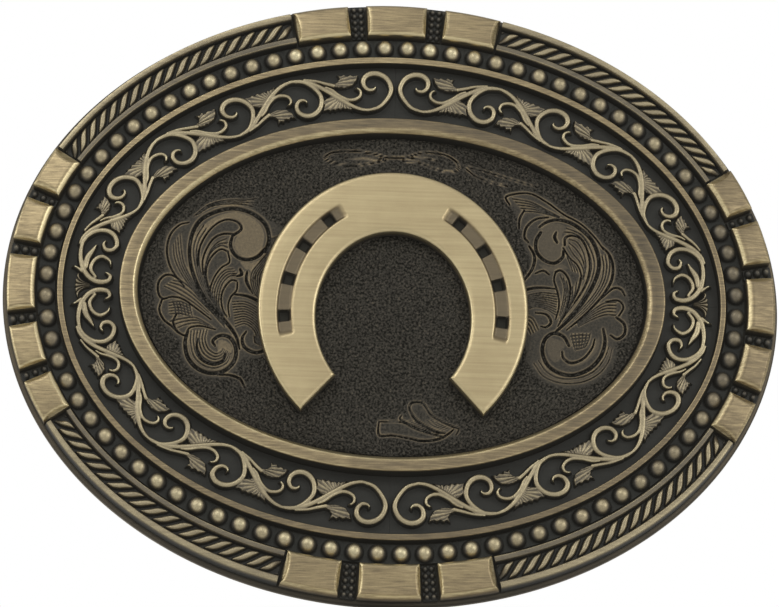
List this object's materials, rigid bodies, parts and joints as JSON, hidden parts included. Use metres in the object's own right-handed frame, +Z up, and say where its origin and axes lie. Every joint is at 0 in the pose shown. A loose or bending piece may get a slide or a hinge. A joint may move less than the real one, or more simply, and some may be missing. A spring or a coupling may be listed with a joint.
{
  "type": "belt buckle",
  "caption": "Oval Western dress belt buckle with rope and bead rim, scroll band and horseshoe emblem; swinging belt bail and fixed hook behind.",
  "frame": {"origin": "middle of the oval, on the low flat seat in the middle of the plate's back, where the belt lies", "axes": "+X along the belt to the viewer's right, +Z up as worn, -Y out of the decorated face"},
  "size_m": [0.099, 0.0141, 0.081],
  "materials": {
    "bright_blocks": "brushed, antiqued brass",
    "rings": "brushed, antiqued brass",
    "bright_emblem": "brushed bright brass with polished edges",
    "beads": "antiqued brass, dark in the recesses",
    "ropes": "antiqued brass, dark in the recesses",
    "scrolls": "antiqued brass with bright high lines",
    "dark_panel": "black-brown patina, stippled and engraved",
    "base_plate": "dark antiqued brass, brushed plain back",
    "back_hardware": "satin antiqued brass",
    "bail_wire": "satin antiqued brass wire"
  },
  "bodies": {
    "root": {"bail_bracket": "back_hardware", "base_plate": "base_plate", "bead_border": "beads", "bead_strip_bottom_1": "beads", "bead_strip_bottom_2": "beads", "bead_strip_left_1": "beads", "bead_strip_left_2": "beads", "bead_strip_left_3": "beads", "bead_strip_left_4": "beads", "bead_strip_right_1": "beads", "bead_strip_right_2": "beads", "bead_strip_right_3": "beads", "bead_strip_right_4": "beads", "bead_strip_top_1": "beads", "bead_strip_top_2": "beads", "block_bottom_1": "bright_blocks", "block_bottom_2": "bright_blocks", "block_bottom_3": "bright_blocks", "block_left_1": "bright_blocks", "block_left_2": "bright_blocks", "block_left_3": "bright_blocks", "block_left_4": "bright_blocks", "block_left_5": "bright_blocks", "block_right_1": "bright_blocks", "block_right_2": "bright_blocks", "block_right_3": "bright_blocks", "block_right_4": "bright_blocks", "block_right_5": "bright_blocks", "block_top_1": "bright_blocks", "block_top_2": "bright_blocks", "block_top_3": "bright_blocks", "centre_panel": "dark_panel", "emblem": "bright_emblem", "hook_pad": "back_hardware", "hook_stud": "back_hardware", "narrow_ring": "rings", "palmette_left": "scrolls", "palmette_right": "scrolls", "rope_channel_lower_left": "ropes", "rope_channel_lower_right": "ropes", "rope_channel_upper_left": "ropes", "rope_channel_upper_right": "ropes", "rope_lower_left": "ropes", "rope_lower_right": "ropes", "rope_upper_left": "ropes", "rope_upper_right": "ropes", "scroll_lower_left": "scrolls", "scroll_lower_right": "scrolls", "scroll_upper_left": "scrolls", "scroll_upper_right": "scrolls", "wide_ring": "rings"},
    "bail": {"bail": "bail_wire"}
  },
  "joints": [
    {"name": "bail_swing", "type": "hinge", "parent": "root", "child": "bail", "pos_m": [0.019, 0.0027, 0], "axis": [0, 0, 1], "range_deg": [-3, 183]}
  ]
}
